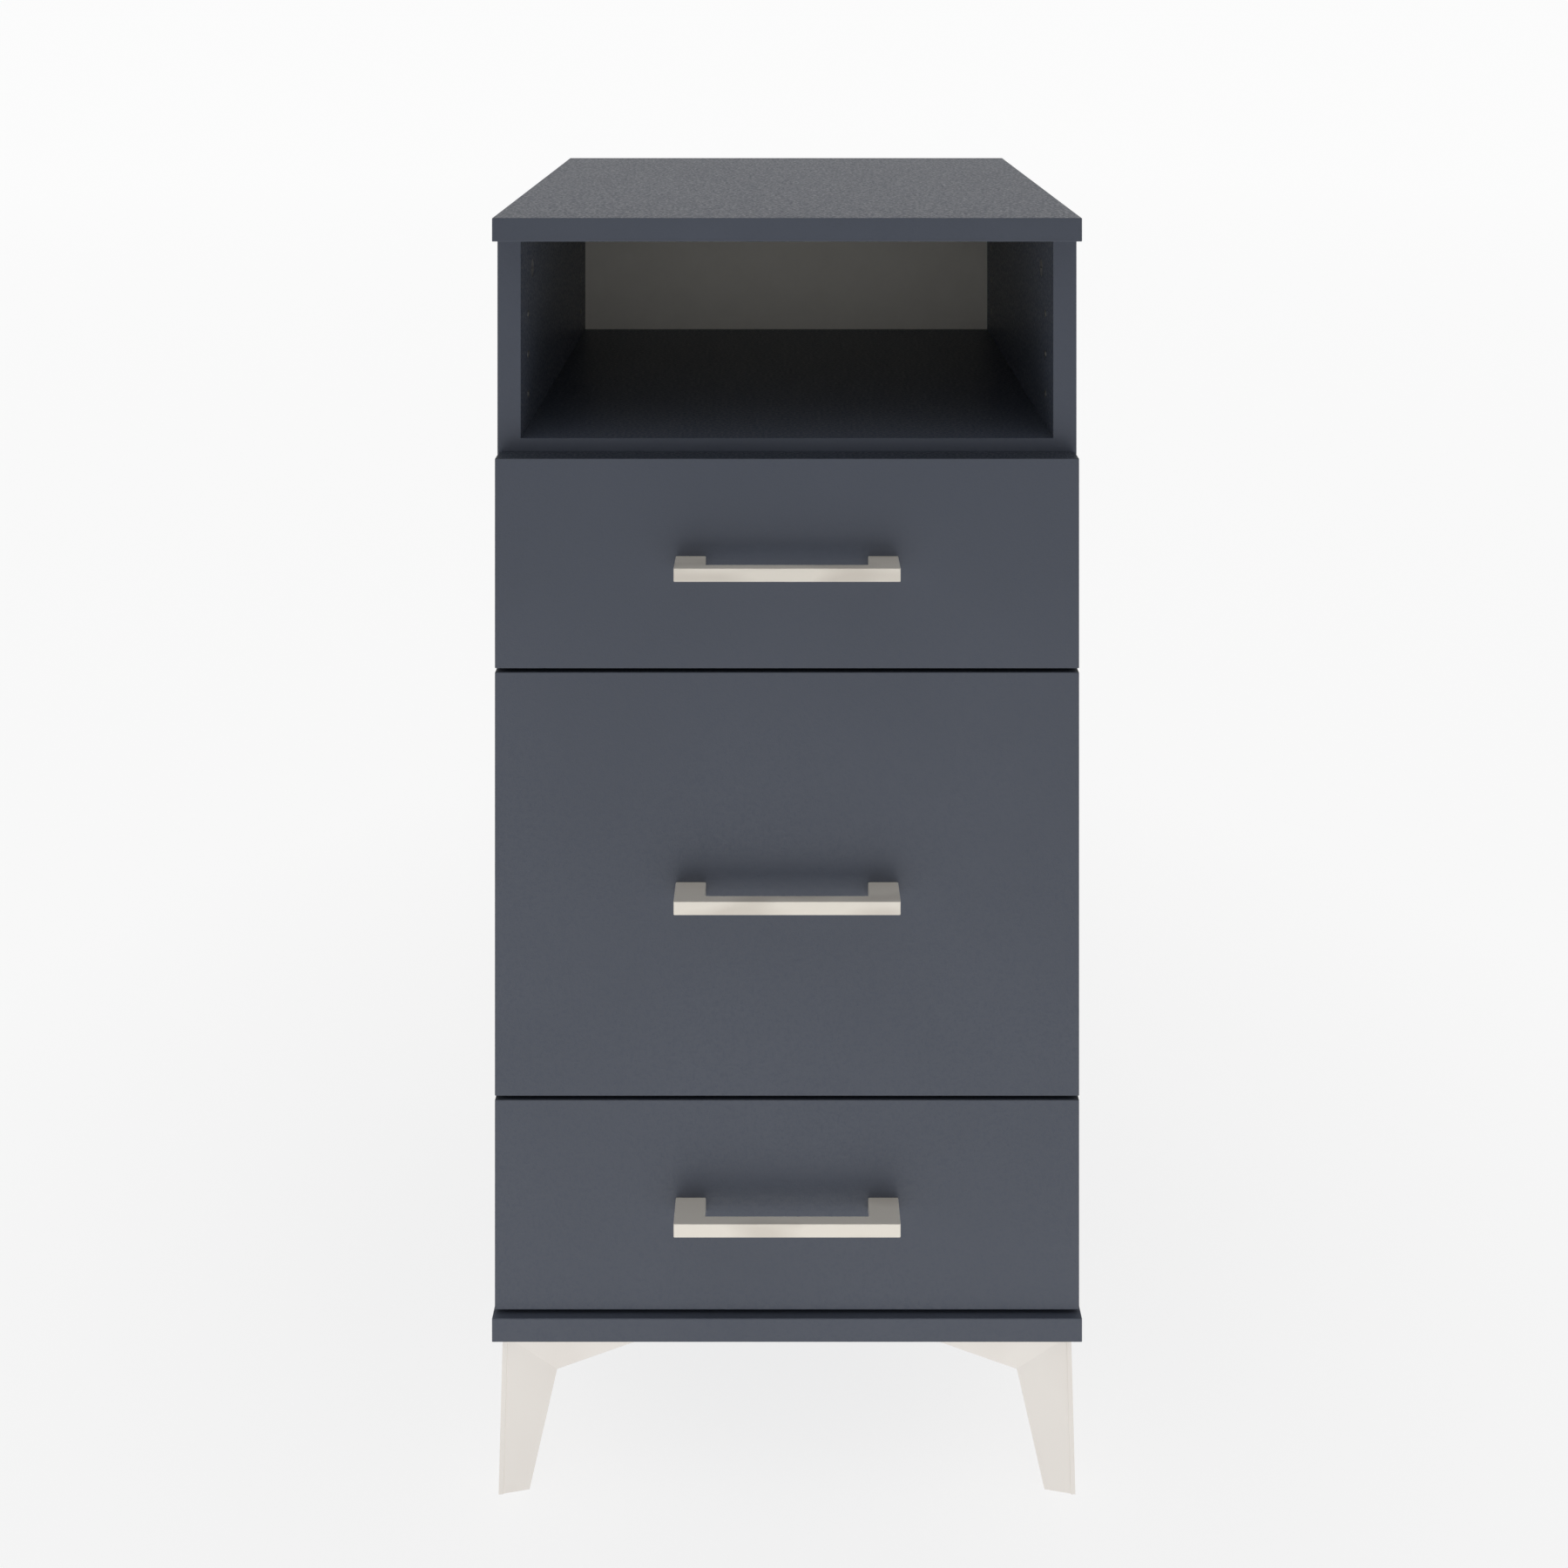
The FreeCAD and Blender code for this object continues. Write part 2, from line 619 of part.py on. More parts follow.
def make_ball_cage(name, x, z, first_y):
    """A strip that holds one row of balls between two flanges, as one solid."""
    strip = doc.addObject("Part::Box", f"{name}_strip")
    balls = 8
    for size, value in (("Length", as_size(1.8)), ("Width", D["ball_pitch"] * balls),
                        ("Height", as_size(0.8))):
        strip.setExpression(size, value.text)
    place(strip, x - 0.9, as_size(first_y) - D["ball_pitch"] / 2, z - 0.4)
    pieces = [strip]
    for step in range(balls):
        ball = doc.addObject("Part::Sphere", f"{name}_ball_{step}")
        ball.setExpression("Radius", (D["ball"] / 2).text)
        place(ball, x, as_size(first_y) + D["ball_pitch"] * step, z)
        pieces.append(ball)
    cage = doc.addObject("Part::MultiFuse", name)
    cage.Shapes = pieces
    return cage


outer_member = channel("outer_member", as_size(0), D["outer_flange"], D["outer_rail"] / 2, True)
middle_member = channel("middle_member", D["middle_web"], D["middle_flange"],
                        D["middle_rail"] / 2, False)
inner_member = channel("inner_member", D["slide_width"], D["inner_flange"], D["inner_rail"] / 2, True)

outer_balls_x = (D["middle_web"] + D["outer_flange"]) / 2
outer_balls_z = (D["outer_rail"] + D["middle_rail"]) / 4 - D["rail_sheet"] / 2
inner_balls_x = (D["inner_flange"] + D["middle_flange"]) / 2
inner_balls_z = (D["middle_rail"] + D["inner_rail"]) / 4 - D["rail_sheet"] / 2
ball_cages = []
for label, up in (("upper", 1), ("lower", -1)):
    rear_half = D["rail_length"] / 2 + 20
    ball_cages.append(make_ball_cage(f"outer_{label}_cage", outer_balls_x, outer_balls_z * up, rear_half))
    ball_cages.append(make_ball_cage(f"inner_{label}_cage", inner_balls_x, inner_balls_z * up, 20))


def rail_z(drawer):
    low, _, _, _ = PLAN[drawer]
    return low + D["box_lift"] + D["rail_lift"]


def make_slide(drawer, hand):
    """One slide's three members: the cabinet rail, the middle rail with its ball cages, the drawer rail."""
    turn = Rotation() if hand == "left" else MIRRORED_RAIL
    members = {
        f"{drawer}_{hand}_cabinet_rail": [outer_member],
        f"{drawer}_{hand}_middle_rail": [middle_member] + ball_cages,
        f"{drawer}_{hand}_drawer_rail": [inner_member],
    }
    rails = []
    for name, pieces in members.items():
        rail = group(name, [(piece, Placement()) for piece in pieces])
        place(rail, -inner_x if hand == "left" else inner_x, carcass_front, rail_z(drawer), turn)
        rails.append(rail)
    return rails


def rail_screws(drawer, side, on_cabinet):
    """Screws through a slide's outer member into the side panel, or its inner one into the box."""
    copies = []
    for y in RAIL_SCREW_SPOTS:
        if on_cabinet:
            x = (inner_x - D["rail_sheet"] - RAIL_SCREW_HEAD) * side
            direction = Vector(side, 0, 0)
        else:
            x = (box_half_width + D["rail_sheet"] + RAIL_SCREW_HEAD) * side
            direction = Vector(-side, 0, 0)
        copies.append((rail_screw, at(x, carcass_front + y, rail_z(drawer), along(direction))))
    return copies


# --- drawers -------------------------------------------------------------------------------------

DRAWER_CAM_HOLE = 12.5
BOX_CAM_MARGIN = 28          # outer cams to the box's lower and upper edges
BOX_SCREW_LOW = 19           # lowest box screw above the box's lower edge
BOX_SCREW_MARGIN = 15        # highest box screw below the box's upper edge


def box_cam_heights(box_height):
    return (as_size(BOX_CAM_MARGIN), box_height - BOX_CAM_MARGIN)


def box_screw_heights(box_height):
    return (as_size(BOX_SCREW_LOW), box_height - BOX_SCREW_MARGIN)


def make_front(drawer):
    low, height, box_height, handle_low = PLAN[drawer]
    front = board(f"{drawer}_drawer_front", D["front_width"], D["board"], height, D["board_edge"])
    middle_x = D["front_width"] / 2
    back_face = -D["board"]
    grips = [(middle_x + D["handle_holes"] / 2 * side, handle_low + D["handle_height"] / 2)
             for side in (-1, 1)]
    drill(front, "XZ", back_face, grips, 4.5, D["board"], "handle_holes")
    box_side = box_inner_x + D["box_board"] / 2
    bolts = [(middle_x + box_side * side, D["box_lift"] + z)
             for side in (-1, 1) for z in box_cam_heights(box_height)]
    drill(front, "XZ", back_face, bolts, *PANEL_BOLT_HOLE, "bolt_holes")
    reach = box_inner_x + D["bottom_groove"]
    groove_low = D["box_lift"] + D["bottom_lift"] - D["groove_play"]
    groove(front, "XZ", back_face, (middle_x - reach, groove_low, middle_x + reach,
                                    groove_low + groove_width), D["bottom_groove"], "bottom_groove")
    place(front, -D["front_width"] / 2, front_face, low)
    return front


def make_box_side(drawer, hand):
    low, _, box_height, _ = PLAN[drawer]
    side = board(f"{drawer}_drawer_{hand}_side", D["box_board"], D["box_depth"], box_height)
    inner_face, outer_face = (D["box_board"], 0) if hand == "left" else (0, D["box_board"])
    middle = D["box_board"] / 2
    cams = [(D["cam_edge"], z) for z in box_cam_heights(box_height)]
    drill(side, "YZ", inner_face, cams, D["cam"], DRAWER_CAM_HOLE, "cam_holes")
    bolts = [(middle, z) for z in box_cam_heights(box_height)]
    drill(side, "XZ", 0, bolts, BOLT_HOLE, D["cam_edge"], "bolt_holes")
    screw_y = D["box_depth"] - D["box_board"] / 2
    screws = [(screw_y, z) for z in box_screw_heights(box_height)]
    drill(side, "YZ", outer_face, screws, 7 + FASTENER_PLAY, BOX_SCREW_HEAD, "screw_heads")
    drill(side, "YZ", outer_face, screws, 5 + FASTENER_PLAY, D["box_board"], "screw_holes")
    setback = carcass_front - front_back_face
    rails = [(setback + y, D["rail_lift"]) for y in RAIL_SCREW_SPOTS]
    drill(side, "YZ", outer_face, rails, PILOT_HOLE, PILOT_DEPTH, "rail_screw_holes")
    groove_low = D["bottom_lift"] - D["groove_play"]
    groove(side, "YZ", inner_face, (0, groove_low, D["box_depth"], groove_low + groove_width),
           D["bottom_groove"], "bottom_groove")
    x = -box_half_width if hand == "left" else box_inner_x
    place(side, x, front_back_face, low + D["box_lift"])
    return side


def make_box_back(drawer):
    low, _, box_height, _ = PLAN[drawer]
    foot = D["bottom_lift"] + D["back_board"]
    length = 2 * box_inner_x
    back = board(f"{drawer}_drawer_back", length, D["box_board"], box_height - foot)
    screws = [(D["box_board"] / 2, z - foot) for z in box_screw_heights(box_height)]
    for label, end in (("left", 0), ("right", length)):
        drill(back, "YZ", end, screws, 5 + FASTENER_PLAY, 25, f"{label}_screw_holes")
    place(back, -box_inner_x, box_rear - D["box_board"], low + D["box_lift"] + foot)
    return back


def make_box_bottom(drawer):
    low, _, _, _ = PLAN[drawer]
    reach = D["bottom_groove"] - 0.5
    bottom = board(f"{drawer}_drawer_bottom", 2 * (box_inner_x + reach), D["box_depth"] + reach,
                   D["back_board"])
    place(bottom, -box_inner_x - reach, front_back_face - reach,
          low + D["box_lift"] + D["bottom_lift"])
    return bottom


def make_handle(drawer):
    """A flat bar on two end posts, with a blind screw hole in each post's foot."""
    low, _, _, handle_low = PLAN[drawer]
    length, reach = D["handle_length"], D["handle_projection"]
    post, bar = D["handle_post"], D["handle_bar"]
    handle = new_body(f"{drawer}_handle")
    sketch = new_sketch(handle, "XY", "plan")
    outline(sketch, [(0, 0), (length, 0), (length, reach), (length - post, reach),
                     (length - post, bar), (post, bar), (post, reach), (0, reach)])
    feature = pad(handle, sketch, D["handle_height"])

    def is_upright(edge):
        return len({round(vertex.Point.z, 3) for vertex in edge.Vertexes}) == 2

    rounded = round_edges(handle, feature, D["handle_round"], is_upright)
    doc.recompute()
    foot_y = reach.value - 1e-3

    def is_long_rim(edge):
        return not is_upright(edge) and edge.BoundBox.YMax < foot_y and edge.Curve.TypeId == "Part::GeomLine"

    names = [f"Edge{i}" for i, e in enumerate(rounded.Shape.Edges, start=1) if is_long_rim(e)]
    softened = handle.newObject("PartDesign::Fillet", f"{handle.Name}_soften")
    softened.Base = (rounded, names)
    softened.setExpression("Radius", D["handle_edge"].text)
    margin = (length - D["handle_holes"]) / 2
    holes = [(x, D["handle_height"] / 2) for x in (margin, length - margin)]
    drill(handle, "XZ", -reach, holes, 4 + FASTENER_PLAY, 9, "screw_holes")
    place(handle, -length / 2, front_face - reach, low + handle_low)
    return handle


def make_handle_screws(drawer):
    low, _, _, handle_low = PLAN[drawer]
    z = low + handle_low + D["handle_height"] / 2
    y = front_back_face + HANDLE_SCREW_HEAD
    copies = [(handle_screw, at(D["handle_holes"] / 2 * side, y, z, along(TO_FRONT)))
              for side in (-1, 1)]
    return group(f"{drawer}_handle_screws", copies)


def make_connectors(drawer):
    """The cams and bolts that hold a drawer's sides to its front."""
    low, _, box_height, _ = PLAN[drawer]
    copies = []
    for side in (-1, 1):
        x = (box_inner_x + D["box_board"] / 2) * side
        for lift in box_cam_heights(box_height):
            z = low + D["box_lift"] + lift
            cam_y = front_back_face + D["cam_edge"]
            copies.append((drawer_cam, cam_at(x, cam_y, z, TO_FRONT, Vector(-side, 0, 0))))
            copies.append((cam_bolt, bolt_at(x, front_back_face, z, -TO_FRONT)))
    return group(f"{drawer}_drawer_connectors", copies)


def make_drawer_screws(drawer):
    """The screws of the box's back and of the drawer rails."""
    low, _, box_height, _ = PLAN[drawer]
    copies = []
    for side in (-1, 1):
        for lift in box_screw_heights(box_height):
            place_ = at(box_half_width * side, box_rear - D["box_board"] / 2,
                        low + D["box_lift"] + lift, along(Vector(-side, 0, 0)))
            copies.append((box_screw, place_))
        copies += rail_screws(drawer, side, on_cabinet=False)
    return group(f"{drawer}_drawer_screws", copies)


# --- the whole nightstand ------------------------------------------------------------------------

def make_cabinet():
    parts = [make_cap_panel("top_panel", top_z, 0), make_base_panel()]
    parts += [make_side_panel(hand) for hand in HANDS]
    parts += [make_niche_shelf(), make_back_panel()]
    parts += make_legs() + [make_leg_screws()]
    cams, bolts, dowels = cam_joints()
    parts += [group("cam_locks", cams), group("cam_bolts", bolts), group("dowels", dowels)]
    screws = [copy for drawer in DRAWERS for side in (-1, 1)
              for copy in rail_screws(drawer, side, on_cabinet=True)]
    parts.append(group("cabinet_rail_screws", screws))
    return parts


def make_drawer(drawer):
    parts = [make_front(drawer), make_handle(drawer), make_handle_screws(drawer)]
    parts += [make_box_side(drawer, hand) for hand in HANDS]
    parts += [make_box_back(drawer), make_box_bottom(drawer)]
    parts += [make_connectors(drawer), make_drawer_screws(drawer)]
    for hand in HANDS:
        parts += make_slide(drawer, hand)
    return parts


def check_document():
    for item in doc.Objects:
        for flag in ("Invalid", "Error"):
            if flag in item.State:
                raise RuntimeError(f"{item.Label}: {item.State}")


def write_parts(parts):
    os.makedirs("parts", exist_ok=True)
    for part in parts:
        if part.Shape.isNull() or not part.Shape.isValid():
            raise RuntimeError(f"{part.Label}: shape is null or not valid")
    for part in parts:
        part.Shape.exportStep(os.path.join("parts", f"{part.Label}.step"))


nightstand = make_cabinet()
for drawer_name in DRAWERS:
    nightstand += make_drawer(drawer_name)
doc.recompute()
check_document()
write_parts(nightstand)
print(f"{len(nightstand)} sub-parts written")
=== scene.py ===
import math

import bmesh
import bpy
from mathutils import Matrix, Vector


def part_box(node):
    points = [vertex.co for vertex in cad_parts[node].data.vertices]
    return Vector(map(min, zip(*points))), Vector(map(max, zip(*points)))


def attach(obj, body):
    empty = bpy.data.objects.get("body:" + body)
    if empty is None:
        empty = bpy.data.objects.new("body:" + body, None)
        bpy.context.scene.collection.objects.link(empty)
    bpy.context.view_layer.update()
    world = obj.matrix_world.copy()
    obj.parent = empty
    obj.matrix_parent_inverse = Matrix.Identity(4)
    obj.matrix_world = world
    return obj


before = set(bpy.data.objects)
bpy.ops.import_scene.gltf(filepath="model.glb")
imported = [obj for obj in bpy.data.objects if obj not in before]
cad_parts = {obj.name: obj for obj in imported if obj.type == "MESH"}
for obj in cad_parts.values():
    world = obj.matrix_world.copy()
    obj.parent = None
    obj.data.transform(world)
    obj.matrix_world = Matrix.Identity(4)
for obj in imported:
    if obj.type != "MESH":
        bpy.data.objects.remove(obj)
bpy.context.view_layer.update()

# The looks of the three-drawer nightstand: a slate-grey board carcass with satin nickel handles and
# legs, in a white studio.  Metres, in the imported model's own frame: front towards -Y, +Z up.

MM = 0.001

DRAWERS = ("lower", "middle", "upper")
HANDS = ("left", "right")

# --- camera --------------------------------------------------------------------------------------

EYE_HEIGHT = 1.1479          # above the floor
EYE_TO_TOP_EDGE = 1.2295     # in front of the top panel's front edge
EYE_ASIDE = -0.0023          # along X from the object's middle
SENSOR = 36                  # millimetres, as the lens
LENS = 37.032
SHIFT_DOWN = -0.5039         # share of the frame: a level view of an object wholly below the eye
NEAREST, FARTHEST = 0.05, 200


def add_camera():
    """A level camera straight in front of the drawers, a little higher than the top panel."""
    top_low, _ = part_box("top_panel")
    data = bpy.data.cameras.new("camera")
    data.sensor_width = SENSOR
    data.lens = LENS
    data.shift_y = SHIFT_DOWN
    data.clip_start = NEAREST
    data.clip_end = FARTHEST
    camera = bpy.data.objects.new("camera", data)
    camera.location = (EYE_ASIDE, top_low.y - EYE_TO_TOP_EDGE, EYE_HEIGHT)
    camera.rotation_euler = (math.radians(90), 0, 0)
    bpy.context.scene.collection.objects.link(camera)
    bpy.context.scene.camera = camera


# --- shader building -----------------------------------------------------------------------------

FACING_EDGE = (0.45, 0.55)   # the cosines between which a face begins to look along an axis


class Shader:
    """A node material under construction, with short calls for the nodes that are used here."""

    def __init__(self, name):
        self.material = bpy.data.materials.new(name)
        self.material.use_nodes = True
        self.tree = self.material.node_tree
        self.tree.nodes.clear()
        self.output = self.tree.nodes.new("ShaderNodeOutputMaterial")
        self.place = self.node("ShaderNodeTexCoord").outputs["Object"]

    def node(self, kind, **settings):
        """A new node whose attributes, such as operation, are set by name."""
        node = self.tree.nodes.new(kind)
        for key, value in settings.items():
            setattr(node, key, value)
        return node

    def feed(self, node, name, value):
        """Give a node's input a link if value is a socket, or else a constant."""
        self.feed_socket(node.inputs[name], value)

    def feed_socket(self, socket, value):
        if isinstance(value, bpy.types.NodeSocket):
            self.tree.links.new(value, socket)
        elif socket.type == "RGBA":
            socket.default_value = (*value, 1)
        else:
            socket.default_value = value

    def scaled(self, factors):
        """The place on the surface, multiplied along each axis."""
        node = self.node("ShaderNodeVectorMath", operation="MULTIPLY")
        self.feed(node, 0, self.place)
        self.feed(node, 1, factors)
        return node.outputs[0]

    def noise(self, size, detail, roughness, stretch=(1, 1, 1)):
        """Noise from 0 to 1 whose features are about size metres across, longer along a stretch under 1."""
        node = self.node("ShaderNodeTexNoise")
        self.feed(node, "Vector", self.scaled(stretch))
        self.feed(node, "Scale", 1 / size)
        self.feed(node, "Detail", detail)
        self.feed(node, "Roughness", roughness)
        return node.outputs[0]

    def ranged(self, value, low, high, to_low=0.0, to_high=1.0):
        """Value from low to high, clamped and stretched to the range from to_low to to_high."""
        node = self.node("ShaderNodeMapRange", clamp=True)
        self.feed(node, "Value", value)
        self.feed(node, "From Min", low)
        self.feed(node, "From Max", high)
        self.feed(node, "To Min", to_low)
        self.feed(node, "To Max", to_high)
        return node.outputs[0]

    def maths(self, operation, *values):
        """One step of arithmetic on sockets and constants."""
        node = self.node("ShaderNodeMath", operation=operation)
        for index, value in enumerate(values):
            self.feed(node, index, value)
        return node.outputs[0]

    def mixed(self, share, first, second):
        """A colour that goes from first to second as share goes from 0 to 1."""
        node = self.node("ShaderNodeMix", data_type="RGBA")
        for name, value in (("Factor", share), ("A", first), ("B", second)):
            socket = next(s for s in node.inputs if s.name == name and s.enabled)
            self.feed_socket(socket, value)
        return next(s for s in node.outputs if s.enabled)

    def facing(self, axis, sign):
        """1 on faces that look along +axis or -axis, and 0 elsewhere."""
        split = self.node("ShaderNodeSeparateXYZ")
        self.feed(split, 0, self.node("ShaderNodeNewGeometry").outputs["Normal"])
        along = self.maths("MULTIPLY", split.outputs["XYZ".index(axis)], sign)
        return self.ranged(along, *FACING_EDGE)

    def facing_either(self, axis):
        """1 on faces that look along an axis either way, and 0 elsewhere."""
        return self.maths("ADD", self.facing(axis, 1), self.facing(axis, -1))

    def bump(self, height, strength, depth):
        """A normal for relief whose height of 1 stands for depth metres."""
        node = self.node("ShaderNodeBump")
        self.feed(node, "Height", height)
        self.feed(node, "Strength", strength)
        self.feed(node, "Distance", depth)
        return node.outputs[0]

    def principled(self, **inputs):
        """The finished surface: each input is a socket or a constant, named with underscores."""
        node = self.node("ShaderNodeBsdfPrincipled")
        for key, value in inputs.items():
            self.feed(node, key.replace("_", " "), value)
        self.tree.links.new(node.outputs[0], self.output.inputs["Surface"])
        return self.material


# --- materials -----------------------------------------------------------------------------------

# Colours are linear; a pair holds the two tones that a material wanders between.
SLATE = ((0.0680, 0.0800, 0.1080), (0.0790, 0.0920, 0.1250))
SLATE_LIGHT = (0.0850, 0.0980, 0.1310)
# Darker tone for the drawer fronts' edge faces: an edge band's tone and painted shade where they face the
# gaps.
SLATE_BAND_AND_SHADE = (0.0450, 0.0530, 0.0710)
CHIPBOARD = ((0.20, 0.125, 0.065), (0.36, 0.25, 0.14))
BOX_WHITE = ((0.69, 0.69, 0.67), (0.71, 0.71, 0.69))
LACQUER_WHITE = ((0.87, 0.835, 0.75), (0.90, 0.865, 0.78))
RAW_HARDBOARD = ((0.17, 0.095, 0.045), (0.23, 0.135, 0.07))
# The second handle tone is painted reflection: dark soft zones mixed in as clouds along the bar.
HANDLE_NICKEL_AND_REFLECTION = ((0.97, 0.915, 0.82), (0.82, 0.76, 0.675))
LEG_NICKEL = ((0.97, 0.925, 0.87), (0.945, 0.895, 0.84))
ZINC_TONES = ((0.54, 0.555, 0.57), (0.62, 0.64, 0.66))
CAM_TONES = ((0.36, 0.36, 0.37), (0.5, 0.5, 0.51))
SLEEVE_TONES = ((0.28, 0.275, 0.26), (0.40, 0.39, 0.37))
BEECH = ((0.40, 0.25, 0.13), (0.58, 0.41, 0.24))

EVEN = (1, 1, 1)             # a grain with no direction
BOARD_SKIN = 0.9 * MM        # deeper than the rounding of a board's edges


def inside_board(shader, node_name):
    """1 where a cut face lies deeper in the board than its skin, as in a drilled hole or a groove."""
    low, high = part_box(node_name)
    split = shader.node("ShaderNodeSeparateXYZ")
    shader.feed(split, 0, shader.place)
    depth = None
    for axis in range(3):
        from_low = shader.maths("SUBTRACT", split.outputs[axis], low[axis])
        from_high = shader.maths("SUBTRACT", high[axis], split.outputs[axis])
        nearest = shader.maths("MINIMUM", from_low, from_high)
        depth = nearest if depth is None else shader.maths("MINIMUM", depth, nearest)
    return shader.ranged(depth, 0.8 * BOARD_SKIN, BOARD_SKIN)


def chipboard_colour(shader):
    """Pressed wood chips a millimetre or two across."""
    chips = shader.noise(1.6 * MM, detail=3, roughness=0.7)
    return shader.mixed(shader.ranged(chips, 0.35, 0.65), *CHIPBOARD)


def slate_board(node_name, band_and_shade_axes=""):
    """Fine-textured slate melamine with raw chipboard in its cuts.

    Faces that look along one of these axes are darker: an edge band's tone and painted shade in the gaps.
    """
    shader = Shader(f"slate_{node_name}")
    pearl = shader.noise(0.9 * MM, detail=3, roughness=0.6)
    speckle = shader.noise(2.5 * MM, detail=3, roughness=0.7)
    clouds = shader.noise(160 * MM, detail=2, roughness=0.5)
    grain = shader.maths("MULTIPLY_ADD", pearl, 0.4, speckle)
    tone = shader.mixed(shader.ranged(grain, 0.5, 0.9), *SLATE)
    tone = shader.mixed(shader.ranged(clouds, 0.3, 0.7, 0.0, 0.6), tone, SLATE_LIGHT)
    # Edge faces go darker: the edge band's tone and painted shade in the gaps between the drawer fronts.
    for axis in band_and_shade_axes:
        tone = shader.mixed(shader.facing_either(axis), tone, SLATE_BAND_AND_SHADE)
    colour = shader.mixed(inside_board(shader, node_name), tone, chipboard_colour(shader))
    roughness = shader.ranged(speckle, 0.38, 0.62, 0.30, 0.62)
    return shader.principled(Base_Color=colour, Roughness=roughness, IOR=1.5,
                             Normal=shader.bump(grain, 1.0, 0.12 * MM))


SCREEN_PITCH = 1.5 * MM      # the wire screen's mark on the rear of hardboard


def white_hardboard(name):
    """Thin hardboard: warm white lacquer on the show face, raw brown screen-marked fibre behind."""
    shader = Shader(name)
    raw = shader.maths("MAXIMUM", shader.facing("Y", 1), shader.facing("Z", -1))
    mottle = shader.noise(30 * MM, detail=3, roughness=0.6)
    white = shader.mixed(shader.ranged(mottle, 0.3, 0.7), *LACQUER_WHITE)
    fibres = shader.noise(1.2 * MM, detail=4, roughness=0.7)
    brown = shader.mixed(shader.ranged(fibres, 0.3, 0.7), *RAW_HARDBOARD)
    screen = shader.node("ShaderNodeTexVoronoi", distance="CHEBYCHEV")
    shader.feed(screen, "Vector", shader.place)
    shader.feed(screen, "Scale", 1 / SCREEN_PITCH)
    shader.feed(screen, "Randomness", 0.15)
    relief = shader.maths("MULTIPLY", screen.outputs["Distance"], raw)
    relief = shader.maths("ADD", relief, shader.maths("MULTIPLY", fibres, 0.2))
    return shader.principled(Base_Color=shader.mixed(raw, white, brown),
                             Roughness=shader.ranged(raw, 0, 1, 0.42, 0.8),
                             Normal=shader.bump(relief, 0.4, 0.15 * MM))


def white_board(node_name):
    """Matt white melamine for the drawer boxes, with raw chipboard in its cuts."""
    shader = Shader(f"white_{node_name}")
    pearl = shader.noise(0.8 * MM, detail=2, roughness=0.5)
    mottle = shader.noise(60 * MM, detail=2, roughness=0.5)
    white = shader.mixed(shader.ranged(mottle, 0.3, 0.7), *BOX_WHITE)
    colour = shader.mixed(inside_board(shader, node_name), white, chipboard_colour(shader))
    return shader.principled(Base_Color=colour, Roughness=shader.ranged(pearl, 0.3, 0.7, 0.4, 0.5),
                             Normal=shader.bump(pearl, 0.2, 0.08 * MM))


def satin_nickel(name, tones, metallic, grain, tone_and_reflection_stretch):
    """Pale warm satin nickel, finely brushed along the axis where grain is smallest, with soft clouds of its
    second tone: on the handles a painted dark reflection.
    """
    shader = Shader(name)
    hairs = shader.noise(0.35 * MM, detail=3, roughness=0.6, stretch=grain)
    clouds = shader.noise(20 * MM, detail=1, roughness=0.4, stretch=tone_and_reflection_stretch)
    # On the handles these clouds are painted dark reflections; on the legs, a tone that wanders at random.
    colour = shader.mixed(shader.ranged(clouds, 0.45, 0.65), *tones)
    return shader.principled(Base_Color=colour, Metallic=metallic,
                             Roughness=shader.ranged(hairs, 0.25, 0.75, 0.36, 0.48),
                             Normal=shader.bump(hairs, 0.12, 0.05 * MM))


def zinc(name, grain, tones=ZINC_TONES):
    """Bright or dull plated steel and die-cast zinc, with soft spangles drawn out along the grain."""
    shader = Shader(name)
    spangle = shader.noise(5 * MM, detail=3, roughness=0.65, stretch=grain)
    fine = shader.noise(0.5 * MM, detail=2, roughness=0.5, stretch=grain)
    colour = shader.mixed(shader.ranged(spangle, 0.3, 0.7), *tones)
    return shader.principled(Base_Color=colour, Metallic=1.0,
                             Roughness=shader.ranged(fine, 0.3, 0.7, 0.3, 0.46),
                             Normal=shader.bump(fine, 0.15, 0.05 * MM))


def beech(name):
    """Bare beech, its pores drawn out along Z."""
    shader = Shader(name)
    pores = shader.noise(0.6 * MM, detail=4, roughness=0.6, stretch=(1, 1, 0.15))
    colour = shader.mixed(shader.ranged(pores, 0.3, 0.7), *BEECH)
    return shader.principled(Base_Color=colour, Roughness=0.7, Normal=shader.bump(pores, 0.3, 0.1 * MM))


def dress(node_name, material):
    """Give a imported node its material."""
    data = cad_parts[node_name].data
    data.materials.clear()
    data.materials.append(material)


